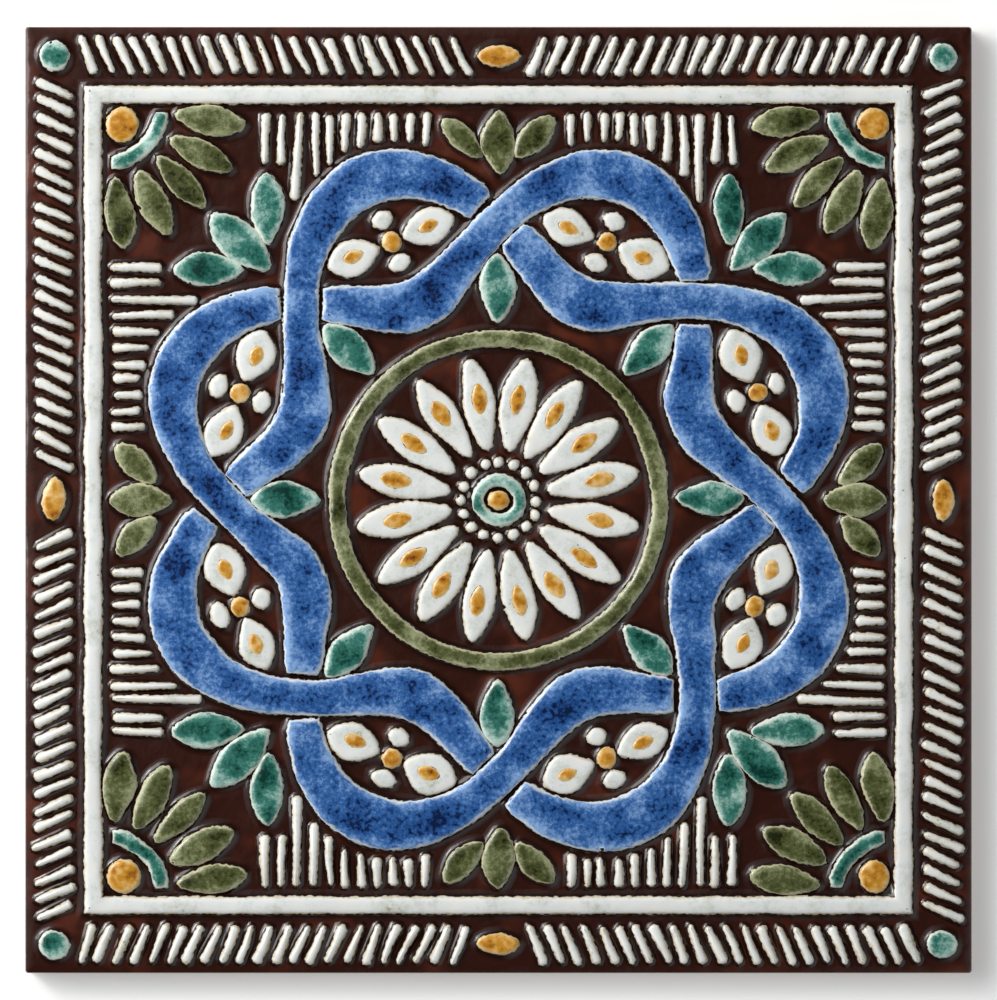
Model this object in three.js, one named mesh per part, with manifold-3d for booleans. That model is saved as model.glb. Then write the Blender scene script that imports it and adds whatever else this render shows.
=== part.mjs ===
// A handmade relief tile: one pressed and fired clay slab with a raised ornament on its face.
// Millimetres, +Z up. The origin is the middle of the flat back, and the ornament faces +Z.
// The ornament is an eightfold mandala of traditional motifs: a daisy with a beaded boss, a knotted
// ring of two plaited straps, palmettes, corner fans, reeded fields and a rope border.
import * as THREE from "three";
import { mergeVertices } from "three/addons/utils/BufferGeometryUtils.js";
import Module from "manifold-3d";

const wasm = await Module();
wasm.setup();

const { degToRad } = THREE.MathUtils;

// Slab
const tileSide = 300;
const slabThickness = 9.4;
const planCornerRadius = 1.6;
const arris = 1;
const glazeColour = "#38201a";
const glazeRoughness = 0.25;

// Relief: how far each kind of motif stands above the slab's face, the lean of its sides, and how
// deep its foot is rooted in the slab
const strapHeight = 2.6;
const bandHeight = 2.4;
const petalHeight = 2.3;
const bossHeight = 2.6;
const barHeight = 2;
const sideLean = 0.5;
const rootDepth = 0.2;

// Border, from the tile's edge inwards
const edgeMargin = 2.6;
const ropeLength = 13.4;
const ropeGap = 3;
const frameWidth = 5.4;
const ropeSlant = degToRad(24);
const ropePitch = 5.5;
const cornerKnobRadius = 4.6;
const sideLozengeLength = 13;
const sideLozengeHalfWidth = 3.4;

// Plaited ring of two straps that swing to and fro, one over and one under at each crossing
const strapGap = 8;
const strapHalfWidth = 5.6;
const strapSwell = 2.6;
const strapSwing = 21;
const strapWaves = 4;
const crossingGap = 1.3;

// Rosette, from the middle outwards
const bossRadius = 8.4;
const beadGap = 1.9;
const beadRadius = 1.8;
const beadCount = 16;
const daisyGap = 2.4;
const daisyPetals = 16;
const daisyHalfWidth = 5.2;
const ringGap = 3.2;
const ringWidth = 5.2;
const ringToStrap = 5.4;

// Motifs in the eyes and hollows of the plaited ring
const motifGap = 2.8;
const eyeSeedRadius = 3.2;
const eyeAlongHalfWidth = 6.2;
const eyeAcrossHalfWidth = 3.6;
const dropHalfWidth = 5.6;
const palmetteFoot = 7.3;
const palmetteSpread = degToRad(45);
const wingStart = 7.5;
const sidePalmette = { petalHalfWidth: 5.2, wingLength: 17, wingHalfWidth: 4.2 };
const cornerPalmette = { petalHalfWidth: 6.2, wingLength: 22.5, wingHalfWidth: 5.3 };
const cornerPetalLength = 25;

// Corner fans
const fanKnobRadius = 5.2;
const fanGap = 2.4;
const fanArcWidth = 4.8;
const fanPetals = 5;
const fanPetalLength = 22;
const fanPetalHalfWidth = 4.7;
const fanSpread = degToRad(72);

// Reeded fields
const barHalfWidth = 1.45;
const barPitch = 4.8;
const barGap = 3;
const shortestBar = 5;

// Worked out from the sizes above
const quarterTurn = Math.PI / 2;
const crossings = 2 * strapWaves;
const crossingTurn = (2 * Math.PI) / crossings;
const half = tileSide / 2;
const ropeOuter = half - edgeMargin;
const ropeInner = ropeOuter - ropeLength;
const ropeMiddle = (ropeOuter + ropeInner) / 2;
const frameOuter = ropeInner - ropeGap;
const frameInner = frameOuter - frameWidth;
const strapWidest = strapHalfWidth + strapSwell;
const strapMiddle = frameInner - strapGap - strapWidest - strapSwing;
const ringOuter = strapMiddle - strapSwing - strapWidest - ringToStrap;
const ringInner = ringOuter - ringWidth;
const beadCircle = bossRadius + beadGap + beadRadius;
const daisyInner = beadCircle + beadRadius + daisyGap;
const daisyOuter = ringInner - ringGap;
const fanArcInner = barGap * Math.SQRT2 + 2 * fanKnobRadius + fanGap;
const fanArcOuter = fanArcInner + fanArcWidth;
const fanPetalStart = fanArcOuter + fanGap;

// Turns a closed three.js geometry into a solid that can be joined to others.
function solidOf(geometry) {
  geometry.deleteAttribute("normal");
  geometry.deleteAttribute("uv");
  const merged = mergeVertices(geometry, 1e-4);
  const vertProperties = merged.attributes.position.array;
  const triVerts = new Uint32Array(merged.index.array);
  return new wasm.Manifold(new wasm.Mesh({ numProp: 3, vertProperties, triVerts }));
}

// The slab: square in plan with small rounded corners, and an eased arris round both faces.
function slabSolid() {
  const reach = half - arris;
  const centre = reach - planCornerRadius;
  const plan = new THREE.Shape();
  plan.absarc(centre, centre, planCornerRadius, 0, quarterTurn);
  plan.absarc(-centre, centre, planCornerRadius, quarterTurn, 2 * quarterTurn);
  plan.absarc(-centre, -centre, planCornerRadius, 2 * quarterTurn, 3 * quarterTurn);
  plan.absarc(centre, -centre, planCornerRadius, 3 * quarterTurn, 4 * quarterTurn);
  const geometry = new THREE.ExtrudeGeometry(plan, {
    depth: slabThickness - 2 * arris,
    bevelSize: arris,
    bevelThickness: arris,
    bevelSegments: 2,
    curveSegments: 3,
  });
  geometry.translate(0, 0, arris);
  return solidOf(geometry);
}

// A raised motif with leaning sides. The outline is its foot, a little under the slab's face.
function raised(outline, height, opening) {
  const shape = new THREE.Shape(outline);
  if (opening) shape.holes.push(new THREE.Path(opening));
  const geometry = new THREE.ExtrudeGeometry(shape, {
    depth: rootDepth,
    bevelSize: sideLean,
    bevelOffset: -sideLean,
    bevelThickness: height + rootDepth,
    bevelSegments: 1,
  });
  geometry.translate(0, 0, slabThickness - 2 * rootDepth);
  return solidOf(geometry);
}

const point = (x, y) => new THREE.Vector2(x, y);

const polar = (radius, angle) => point(radius * Math.cos(angle), radius * Math.sin(angle));

// An outline turned about the origin and then moved.
function placed(outline, angle, shift = point(0, 0)) {
  const origin = point(0, 0);
  return outline.map((corner) => corner.clone().rotateAround(origin, angle).add(shift));
}

function disc(radius, sides, centre = point(0, 0)) {
  const rim = [];
  for (let i = 0; i < sides; i += 1) rim.push(polar(radius, (2 * Math.PI * (i + 0.5)) / sides));
  return placed(rim, 0, centre);
}

const rectangle = (x0, x1, y0, y1) => [point(x0, y0), point(x1, y0), point(x1, y1), point(x0, y1)];

// A leaf along +X with a point at each end, widest a little past its middle.
function leaf(start, length, halfWidth) {
  const belly = 1.15;
  const fullness = 0.75;
  const steps = 4;
  const width = (along) => halfWidth * Math.sin(Math.PI * along ** belly) ** fullness;
  const tip = point(start + length, 0);
  const lower = [];
  for (let i = 1; i < steps; i += 1) {
    const along = (1 - Math.cos((Math.PI * i) / steps)) / 2;
    lower.push(point(start + length * along, -width(along)));
  }
  const upper = lower.map((corner) => point(corner.x, -corner.y)).reverse();
  return [point(start, 0), ...lower, tip, ...upper];
}

// The plaited strap's middle line, its slope and its half width, at an angle round the tile.
const strapRadius = (angle) => strapMiddle + strapSwing * Math.sin(strapWaves * angle);
const strapSlope = (angle) => strapSwing * strapWaves * Math.cos(strapWaves * angle);
const strapHalf = (angle) => strapHalfWidth + strapSwell * Math.sin(strapWaves * angle) ** 2;

// How far a strap's edge is from its middle line, measured along a radius.
const strapEdge = (angle, radius) => strapHalf(angle) * Math.hypot(1, strapSlope(angle) / radius);
const crossingHalf = strapEdge(0, strapMiddle);

// How far out the plaited ring reaches at an angle, as a radius.
function strapReach(angle) {
  const radius = strapMiddle + strapSwing * Math.abs(Math.sin(strapWaves * angle));
  return radius + strapEdge(angle, radius);
}

// One length of strap: it starts beside a crossing that it passes under, goes over the next one
// and ends beside the third. One for each crossing makes the plaited ring.
function strapLength() {
  const steps = 20;
  const clear = (strapHalfWidth + crossingGap) / Math.hypot(strapMiddle, strapSlope(0));
  const span = 2 * crossingTurn - 2 * clear;
  const left = [];
  const right = [];
  for (let i = 0; i <= steps; i += 1) {
    const angle = clear + (span * i) / steps;
    const middle = polar(strapRadius(angle), angle);
    const outward = polar(strapSlope(angle), angle);
    const along = polar(strapRadius(angle), angle + quarterTurn).add(outward).normalize();
    const across = point(along.y, -along.x).multiplyScalar(strapHalf(angle));
    right.push(middle.clone().add(across));
    left.push(middle.clone().sub(across));
  }
  return [...right, ...left.reverse()];
}

function plaitedRing() {
  const parts = [];
  for (let i = 0; i < crossings; i += 1) {
    parts.push(raised(placed(strapLength(), crossingTurn * i), strapHeight));
  }
  return parts;
}

// The daisy in the middle: a boss, a circle of beads, the petals and a plain ring round them.
function rosette() {
  const parts = [raised(disc(bossRadius, 16), bossHeight)];
  for (let i = 0; i < beadCount; i += 1) {
    const centre = polar(beadCircle, (2 * Math.PI * i) / beadCount);
    parts.push(raised(disc(beadRadius, 6, centre), petalHeight));
  }
  const petal = leaf(daisyInner, daisyOuter - daisyInner, daisyHalfWidth);
  for (let i = 0; i < daisyPetals; i += 1) {
    parts.push(raised(placed(petal, (2 * Math.PI * (i + 0.5)) / daisyPetals), petalHeight));
  }
  parts.push(raised(disc(ringOuter, 36), bandHeight, disc(ringInner, 36)));
  return parts;
}

// A four-petalled flower with a seed, in each eye of the plaited ring.
function eyeFlowers() {
  const parts = [];
  const start = eyeSeedRadius + motifGap / 3;
  const acrossReach = strapSwing - strapWidest - motifGap;
  const alongReach = (strapMiddle * crossingTurn) / 2 - crossingHalf - 2 * motifGap;
  for (let i = 0; i < crossings; i += 1) {
    const angle = crossingTurn * (i + 0.5);
    const centre = polar(strapMiddle, angle);
    parts.push(raised(disc(eyeSeedRadius, 8, centre), petalHeight));
    for (let side = 0; side < 4; side += 1) {
      const reach = side % 2 ? alongReach : acrossReach;
      const halfWidth = side % 2 ? eyeAlongHalfWidth : eyeAcrossHalfWidth;
      const petal = leaf(start, reach - start, halfWidth);
      parts.push(raised(placed(petal, angle + side * quarterTurn, centre), petalHeight));
    }
  }
  return parts;
}

// A drop between the daisy's ring and each crossing.
function drops() {
  const parts = [];
  const start = ringOuter + motifGap;
  const end = strapMiddle - crossingHalf - motifGap;
  const drop = leaf(start, end - start, dropHalfWidth);
  for (let i = 0; i < crossings; i += 1) {
    parts.push(raised(placed(drop, crossingTurn * i), petalHeight));
  }
  return parts;
}

// A palmette of three leaves, in the hollow outside a crossing.
function palmette(angle, petalLength, { petalHalfWidth, wingLength, wingHalfWidth }) {
  const foot = polar(strapReach(0) + palmetteFoot, angle);
  const petal = leaf(0, petalLength, petalHalfWidth);
  const wing = leaf(wingStart, wingLength, wingHalfWidth);
  return [
    raised(placed(petal, angle, foot), petalHeight),
    raised(placed(wing, angle - palmetteSpread, foot), petalHeight),
    raised(placed(wing, angle + palmetteSpread, foot), petalHeight),
  ];
}

// A fan in a corner of the frame: a knob, an arc and petals that point at the plaited ring.
function cornerFan(turn) {
  const arcSteps = 6;
  const heading = turn + 2.5 * quarterTurn;
  const corner = polar(frameInner * Math.SQRT2, turn + quarterTurn / 2);
  const knob = polar(barGap * Math.SQRT2 + fanKnobRadius, heading).add(corner);
  const parts = [raised(disc(fanKnobRadius, 8, knob), petalHeight)];
  const inner = [];
  const outer = [];
  for (let i = 0; i <= arcSteps; i += 1) {
    const angle = (i / arcSteps - 0.5) * fanSpread;
    inner.push(polar(fanArcInner, -angle));
    outer.push(polar(fanArcOuter, angle));
  }
  parts.push(raised(placed([...outer, ...inner], heading, corner), bandHeight));
  const petal = leaf(fanPetalStart, fanPetalLength, fanPetalHalfWidth);
  for (let i = 0; i < fanPetals; i += 1) {
    const angle = heading + (i / (fanPetals - 1) - 0.5) * fanSpread;
    parts.push(raised(placed(petal, angle, corner), petalHeight));
  }
  return parts;
}

// The reeded fields on one side: bars that run from the frame in to the plaited ring, and past the
// corner palmette's wing, up to the corner fan.
function reedFields(turn) {
  const parts = [];
  const outer = frameInner - barGap;
  const wingReach = wingStart + sidePalmette.wingLength;
  const wingTip = wingReach * Math.sin(palmetteSpread);
  const first = wingTip + sidePalmette.wingHalfWidth + barHalfWidth;
  const cornerFoot = (strapReach(0) + palmetteFoot) / Math.SQRT2;
  const wingEdge = cornerFoot - cornerPalmette.wingHalfWidth - motifGap - barHalfWidth;
  const wingEnd = cornerFoot + wingStart + cornerPalmette.wingLength + motifGap;
  const fanTip = (fanPetalStart + fanPetalLength) * Math.sin((quarterTurn + fanSpread) / 2);
  const last = frameInner - fanTip - motifGap - barHalfWidth;
  const count = Math.round((wingEdge - first) / barPitch);
  const pitch = (wingEdge - first) / count;
  const isClear = (x, y) => Math.hypot(x, y) > strapReach(Math.atan2(y, x)) + barGap;
  for (let i = 0; first + pitch * i <= last; i += 1) {
    const y = first + pitch * i;
    const stop = i > count ? wingEnd : 0;
    let inner = outer;
    while (inner > stop && isClear(inner, y)) inner -= barHalfWidth / 2;
    if (outer - inner < shortestBar) continue;
    for (const side of [-1, 1]) {
      const bar = rectangle(inner, outer, side * y - barHalfWidth, side * y + barHalfWidth);
      parts.push(raised(placed(bar, turn), barHeight));
    }
  }
  return parts;
}

// The border on one side: a lozenge in the middle, slanted rope bars on both sides of it, and a
// knob in the corner.
function ropeBorder(turn) {
  const middle = point(ropeMiddle, 0);
  const lozenge = leaf(-sideLozengeLength / 2, sideLozengeLength, sideLozengeHalfWidth);
  const knob = disc(cornerKnobRadius, 8, point(ropeMiddle, ropeMiddle));
  const parts = [
    raised(placed(placed(lozenge, quarterTurn, middle), turn), petalHeight),
    raised(placed(knob, turn), petalHeight),
  ];
  const lean = (ropeLength * Math.tan(ropeSlant)) / 2;
  const first = sideLozengeLength / 2 + motifGap + lean;
  const last = ropeMiddle - cornerKnobRadius - motifGap - lean;
  const count = Math.round((last - first) / ropePitch);
  const reach = (ropeLength / Math.cos(ropeSlant)) / 2 - barHalfWidth * Math.tan(ropeSlant);
  const bar = rectangle(-reach, reach, -barHalfWidth, barHalfWidth);
  for (let i = 0; i <= count; i += 1) {
    for (const side of [-1, 1]) {
      const centre = point(ropeMiddle, side * (first + ((last - first) * i) / count));
      parts.push(raised(placed(placed(bar, side * ropeSlant, centre), turn), barHeight));
    }
  }
  return parts;
}

function frameBand() {
  const outer = rectangle(-frameOuter, frameOuter, -frameOuter, frameOuter);
  const inner = rectangle(-frameInner, frameInner, -frameInner, frameInner);
  return [raised(outer, bandHeight, inner)];
}

function tileSolid() {
  const parts = [...frameBand(), ...plaitedRing(), ...rosette(), ...eyeFlowers(), ...drops()];
  const sidePetalLength = frameInner - motifGap - strapReach(0) - palmetteFoot;
  for (let side = 0; side < 4; side += 1) {
    const turn = side * quarterTurn;
    parts.push(...palmette(turn, sidePetalLength, sidePalmette));
    parts.push(...palmette(turn + quarterTurn / 2, cornerPetalLength, cornerPalmette));
    parts.push(...cornerFan(turn), ...reedFields(turn), ...ropeBorder(turn));
  }
  return parts.reduce((tile, part) => tile.add(part), slabSolid());
}

function geometryOf(solid) {
  const mesh = solid.getMesh();
  const geometry = new THREE.BufferGeometry();
  geometry.setAttribute("position", new THREE.BufferAttribute(mesh.vertProperties, 3));
  geometry.setIndex(new THREE.BufferAttribute(mesh.triVerts, 1));
  geometry.computeVertexNormals();
  return geometry;
}

const glaze = new THREE.MeshStandardMaterial({
  color: glazeColour,
  roughness: glazeRoughness,
  metalness: 0,
});
const tile = new THREE.Mesh(geometryOf(tileSolid()), glaze);
tile.name = "tile";

const part = new THREE.Group();
part.add(tile);
export default part;
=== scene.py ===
"""Looks of a handmade relief tile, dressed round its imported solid.

The tile is one slab of pressed and fired clay. A rope border, a square band and an eightfold mandala
of traditional motifs stand up from its face, each brushed with a coloured glaze, and a dark umber
glaze fills the ground between them. The motifs follow the solid's sizes, in millimetres, and every
motif is modelled once, copied to its places, and then unsettled a little, as hand work is.
"""

from __future__ import annotations

import logging
import math
import random
from collections.abc import Callable, Iterator, Sequence
from contextlib import contextmanager
from dataclasses import dataclass, field
from enum import Enum

import bmesh
import bpy
import numpy as np
from mathutils import Matrix, Vector

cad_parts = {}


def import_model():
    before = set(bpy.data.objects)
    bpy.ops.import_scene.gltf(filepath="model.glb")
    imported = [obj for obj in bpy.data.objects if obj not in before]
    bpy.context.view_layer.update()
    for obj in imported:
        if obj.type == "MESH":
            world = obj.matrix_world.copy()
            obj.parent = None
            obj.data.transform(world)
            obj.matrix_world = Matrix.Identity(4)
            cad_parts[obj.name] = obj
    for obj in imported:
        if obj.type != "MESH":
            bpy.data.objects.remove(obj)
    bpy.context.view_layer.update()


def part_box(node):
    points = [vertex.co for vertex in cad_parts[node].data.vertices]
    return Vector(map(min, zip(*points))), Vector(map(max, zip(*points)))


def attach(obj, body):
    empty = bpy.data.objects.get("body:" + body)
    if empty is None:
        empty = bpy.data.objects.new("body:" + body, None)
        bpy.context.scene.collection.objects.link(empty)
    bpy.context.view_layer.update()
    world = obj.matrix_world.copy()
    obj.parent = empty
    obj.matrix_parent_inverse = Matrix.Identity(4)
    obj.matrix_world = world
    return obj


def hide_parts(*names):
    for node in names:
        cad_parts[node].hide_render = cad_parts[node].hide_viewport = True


LOG = logging.getLogger("relief_tile")
Thing = bpy.types.Object
Socket = bpy.types.NodeSocket
Pair = tuple[float, float]

MM = 0.001
NODE = "tile"
QUARTER = math.pi / 2
QUARTERS = [side * QUARTER for side in range(4)]

# What the nodes for mixed colours and for eased ranges are set to, and the inputs of the two colours.
COLOUR = {"data_type": "RGBA", "out": 2}
MIX_A, MIX_B = 6, 7
SMOOTH = {"interpolation_type": "SMOOTHSTEP"}

# The fired glaze: its roughness, and the sizes of its redder patches, slow waves and small lumps.
GLOSS = 0.14
PATCH_MM = 17.0
WAVE_MM = 9.0
LUMP_MM = 2.4


class Slot(Enum):
    """The record's material slots, one for each finish on the tile."""

    UMBER = "umber_glaze"
    COBALT = "cobalt_glaze"
    WHITE = "white_glaze"
    SAGE = "sage_glaze"
    TEAL = "teal_glaze"
    OCHRE = "ochre_glaze"
    CLAY = "bare_clay"


class Pick(Enum):
    """What a selection in edit mode is made of."""

    VERTS = "VERT"
    EDGES = "EDGE"


def linear(colour: str) -> tuple[float, float, float, float]:
    """Turn an sRGB hex colour into the linear one that a shader takes.

    Args:
        colour: six hex digits after a hash.

    Returns:
        Linear red, green, blue and full alpha.
    """
    parts = [int(colour[i : i + 2], 16) / 255 for i in (1, 3, 5)]
    red, green, blue = (c / 12.92 if c <= 0.04045 else ((c + 0.055) / 1.055) ** 2.4 for c in parts)
    return red, green, blue, 1.0


class Graph:
    """The nodes of a material or a world, in the making."""

    def __init__(self, owner: bpy.types.ID) -> None:
        """Start from an owner's node tree, emptied."""
        owner.use_nodes = True
        self.tree = owner.node_tree
        self.tree.nodes.clear()

    def add(
        self, kind: str, inputs: dict | Sequence = (), out: int | str = 0, **settings: object
    ) -> Socket | None:
        """Add a shader node with its settings and links.

        Args:
            kind: the node's type name after "ShaderNode".
            inputs: values, or the sockets that feed them, by input name or number, or in order.
            out: the output that is wanted.
            settings: the node's own properties.

        Returns:
            That output, or nothing where the node has none.
        """
        node = self.tree.nodes.new(f"ShaderNode{kind}")
        for name, value in settings.items():
            setattr(node, name, value)
        for key, value in inputs.items() if isinstance(inputs, dict) else enumerate(inputs):
            if isinstance(value, Socket):
                self.tree.links.new(value, node.inputs[key])
            else:
                node.inputs[key].default_value = value
        return node.outputs[out] if node.outputs else None


class Paint(Graph):
    """A material in the making, whose patterns are measured in millimetres on the tile."""

    def __init__(self, label: str) -> None:
        """Start an empty material, and find the place on the tile in millimetres."""
        self.material = bpy.data.materials.new(label)
        super().__init__(self.material)
        spot = self.add("TexCoord", out="Object")
        self.place = self.add("Mapping", {"Vector": spot, "Scale": (1 / MM,) * 3})

    def pattern(self, size: float, detail: float) -> dict:
        """Give a texture's inputs for a pattern of this size in millimetres."""
        return {"Vector": self.place, "Scale": 1 / size, "Detail": detail}

    def umber(self) -> Socket:
        """Mix the umber glaze's colour: chocolate, with soft redder patches laid at random.

        Returns:
            The colour.
        """
        patches = self.add("TexNoise", self.pattern(PATCH_MM, 2.0))
        redder = self.add("MapRange", (patches, 0.5, 0.78, 0.0, 0.75), **SMOOTH)
        tones = {MIX_A: linear("#31140c"), MIX_B: linear("#602c1b")}
        return self.add("Mix", {0: redder, **tones}, **COLOUR)

    def glazed(self, colour: Socket) -> bpy.types.Material:
        """Finish a glaze with its gloss, its slow waves and its small lumps.

        Args:
            colour: the glaze's colour.

        Returns:
            The finished material.
        """
        wave = self.add("TexNoise", self.pattern(WAVE_MM, 1.0))
        lump = self.add("TexNoise", self.pattern(LUMP_MM, 2.0))
        swell = self.add("Bump", {"Height": wave, "Strength": 0.7, "Distance": 0.5 * MM})
        lumps = {"Height": lump, "Strength": 0.6, "Distance": 0.12 * MM, "Normal": swell}
        look = {"Roughness": GLOSS, "IOR": 1.5, "Normal": self.add("Bump", lumps)}
        return self.finished({"Base Color": colour, **look})

    def finished(self, look: dict) -> bpy.types.Material:
        """Finish the material.

        Args:
            look: the inputs of its shader.

        Returns:
            The finished material.
        """
        self.add("OutputMaterial", (self.add("BsdfPrincipled", look),))
        return self.material


@dataclass(frozen=True)
class UmberGlaze:
    """Dark umber glaze, pooled thick between the motifs.

    It is a transparent iron glaze over clay, so it gives the eye a nearly black brown with soft
    redder patches laid at random, and wet-looking reflections that bend where the pool's surface
    swells.
    """

    slot: Slot = Slot.UMBER
    label: str = "iron_umber_pooled_glaze"

    def build(self) -> bpy.types.Material:
        """Make the material."""
        paint = Paint(self.label)
        return paint.glazed(paint.umber())


@dataclass(frozen=True)
class BareClay:
    """Unglazed earthenware on the back and the foot of the sides.

    It was rolled on cloth and trimmed, so it gives the eye a dry buff with fine grog, pits and
    slow stains.
    """

    slot: Slot = Slot.CLAY
    label: str = "fired_buff_earthenware"
    grog_mm: float = 0.9
    stain_mm: float = 30.0

    def build(self) -> bpy.types.Material:
        """Make the material.

        Returns:
            The finished material.
        """
        paint = Paint(self.label)
        grog = paint.add("TexNoise", {**paint.pattern(self.grog_mm, 5.0), "Roughness": 0.7})
        stain = paint.add("TexNoise", paint.pattern(self.stain_mm, 4.0))
        tones = {MIX_A: linear("#a98563"), MIX_B: linear("#bb9c7c")}
        clay = paint.add("Mix", {0: stain, **tones}, **COLOUR)
        pits = paint.add("MapRange", (grog, 0.34, 0.44, 0.6, 0.0))
        pitted = paint.add("Mix", {0: pits, MIX_A: clay, MIX_B: linear("#7d5136")}, **COLOUR)
        relief = paint.add("Bump", {"Height": grog, "Strength": 0.7, "Distance": 0.25 * MM})
        look = {"Roughness": 0.9, "IOR": 1.5, "Normal": relief}
        return paint.finished({"Base Color": pitted, **look})


@dataclass(frozen=True)
class BrushedGlaze:
    """A coloured glaze brushed over the top of the relief, with umber glaze on its sides.

    It lies over pale slip and breaks at the rims, so it gives the eye soft pools of deeper tone, a
    fine grain that gathers to dark specks in the pools, paler margins and a broken pale line along
    each rim. The umber on its sides darkens from their foot up towards the rim, partly as pooled
    glaze and partly as painted shade in the hollow there. All sizes are in millimetres.

    Attributes:
        slot: the record's slot.
        label: the material's name.
        tones: from the thinnest glaze to the specks.
        rim: the slip that shows along the rims.
        pool_mm: the size of the pools.
        grain_mm: the size of the grain.
        pooling: how much the pools change the tone.
        graining: how much the grain does.
        speck_mm: the size of the specks.
        speckling: how strongly they show where the glaze is deep.
        fade_mm: how far in the paler margin reaches.
        fade: how much paler it is.
        rim_mm: how far in the slip shows, where the glaze is thinnest.
        rim_line: how strongly it shows.
        break_mm: how long the wide and the narrow stretches of that line are.
        waver_mm: the length of the brushed edge's small waves.
        waver: how far they go to either side.
        miss_mm: the size of the spots that the brush missed.
        bubble_mm: the spacing of the pinholes.
    """

    slot: Slot
    label: str
    tones: tuple[str, str, str, str]
    rim: str
    pool_mm: float = 9.0
    grain_mm: float = 2.0
    pooling: float = 1.0
    graining: float = 1.5
    speck_mm: float = 1.5
    speckling: float = 0.75
    fade_mm: float = 3.5
    fade: float = 0.35
    rim_mm: float = 1.1
    rim_line: float = 0.9
    break_mm: float = 6.0
    waver_mm: float = 1.8
    waver: float = 0.28
    miss_mm: float = 3.5
    bubble_mm: float = 8.0

    def build(self) -> bpy.types.Material:
        """Make the material.

        Returns:
            The finished material.
        """
        paint = Paint(self.label)
        shore = self._shore(paint)
        body = self._body(paint, shore)
        line = self._line(paint, shore)
        lined = paint.add("Mix", {0: line, MIX_A: body, MIX_B: linear(self.rim)}, **COLOUR)
        # Painted shade: the umber on the sides darkens from their foot up towards the motif's rim,
        # partly pooled glaze and partly painted shade in the hollow beside it.
        pooled_glaze_and_shade = paint.add("MapRange", (shore, -2.2, -0.7, 0.0, 0.85), **SMOOTH)
        sides = {0: pooled_glaze_and_shade, MIX_A: paint.umber(), MIX_B: linear("#1a0b07")}
        flank = paint.add("Mix", sides, **COLOUR)
        covered = paint.add("MapRange", (shore, -0.2, 0.05), **SMOOTH)
        return paint.glazed(paint.add("Mix", {0: covered, MIX_A: flank, MIX_B: lined}, **COLOUR))

    def _shore(self, paint: Paint) -> Socket:
        """Find the way in from the rim, unsteady, and less where the brush missed.

        Args:
            paint: the material in the making.

        Returns:
            The distance in millimetres.
        """
        rim = paint.add("Attribute", out="Fac", attribute_name="rim")
        waves = paint.add("TexNoise", paint.pattern(self.waver_mm, 2.0))
        offset = paint.add("MapRange", (waves, 0.3, 0.7, -self.waver, self.waver))
        spots = paint.add("TexNoise", paint.pattern(self.miss_mm, 1.0))
        misses = paint.add("MapRange", (spots, 0.72, 0.82, 0.0, -1.0), **SMOOTH)
        return paint.add("Math", (paint.add("Math", (rim, offset)), misses))

    def _line(self, paint: Paint, shore: Socket) -> Socket:
        """Draw the slip along the rim, wider in some places than in others.

        Args:
            paint: the material in the making.
            shore: the distance in from the rim.

        Returns:
            How much of the slip shows.
        """
        breaks = paint.add("TexNoise", paint.pattern(self.break_mm, 2.0))
        width = paint.add("MapRange", (breaks, 0.35, 0.65, 0.3, self.rim_mm))
        return paint.add("MapRange", (shore, width, 0.05, 0.0, self.rim_line), **SMOOTH)

    def _body(self, paint: Paint, shore: Socket) -> Socket:
        """Mix the glaze's own colour, from pools, grain, paler margins, specks and pinholes.

        Args:
            paint: the material in the making.
            shore: the distance in from the rim.

        Returns:
            The colour.
        """
        pools = paint.add("TexNoise", paint.pattern(self.pool_mm, 1.0))
        grain = paint.add("TexNoise", {**paint.pattern(self.grain_mm, 2.5), "Roughness": 0.8})
        deep = 0.5 - (self.pooling + self.graining) / 2
        margin = (shore, 0.1, self.fade_mm, deep - self.fade, deep)
        inland = paint.add("MapRange", margin, **SMOOTH)
        pooled = paint.add("Math", (pools, self.pooling, inland), operation="MULTIPLY_ADD")
        tone = paint.add("Math", (grain, self.graining, pooled), operation="MULTIPLY_ADD")
        ramp = paint.add("ValToRGB", (tone,))
        stops = ramp.node.color_ramp.elements
        stops.new(0.45)
        stops.new(0.72)
        for stop, spot, shade in zip(stops, (0.0, 0.42, 0.73, 0.83), self.tones):
            stop.position = spot
            stop.color = linear(shade)
        specks = {0: self._specks(paint, pooled), MIX_A: ramp, MIX_B: linear(self.tones[-1])}
        specked = paint.add("Mix", specks, **COLOUR)
        bubbles = paint.add("TexVoronoi", paint.pattern(self.bubble_mm, 0.0))
        pinhole = paint.add("MapRange", (bubbles, 0.045, 0.02, 0.0, 0.7), **SMOOTH)
        return paint.add("Mix", {0: pinhole, MIX_A: specked, MIX_B: linear("#2a1510")}, **COLOUR)

    def _specks(self, paint: Paint, pooled: Socket) -> Socket:
        """Scatter the dark specks, which gather where the glaze is deep.

        Args:
            paint: the material in the making.
            pooled: the tone before the grain.

        Returns:
            How much of the specks shows.
        """
        specks = paint.add("TexNoise", paint.pattern(self.speck_mm, 1.0))
        middle = (1 - self.graining) / 2
        depth = (pooled, middle - 0.12, middle + 0.16, 0.0, self.speckling)
        deep = paint.add("MapRange", depth, **SMOOTH)
        return paint.add("MapRange", (specks, 0.57, 0.63, 0.0, deep), **SMOOTH)


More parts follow.
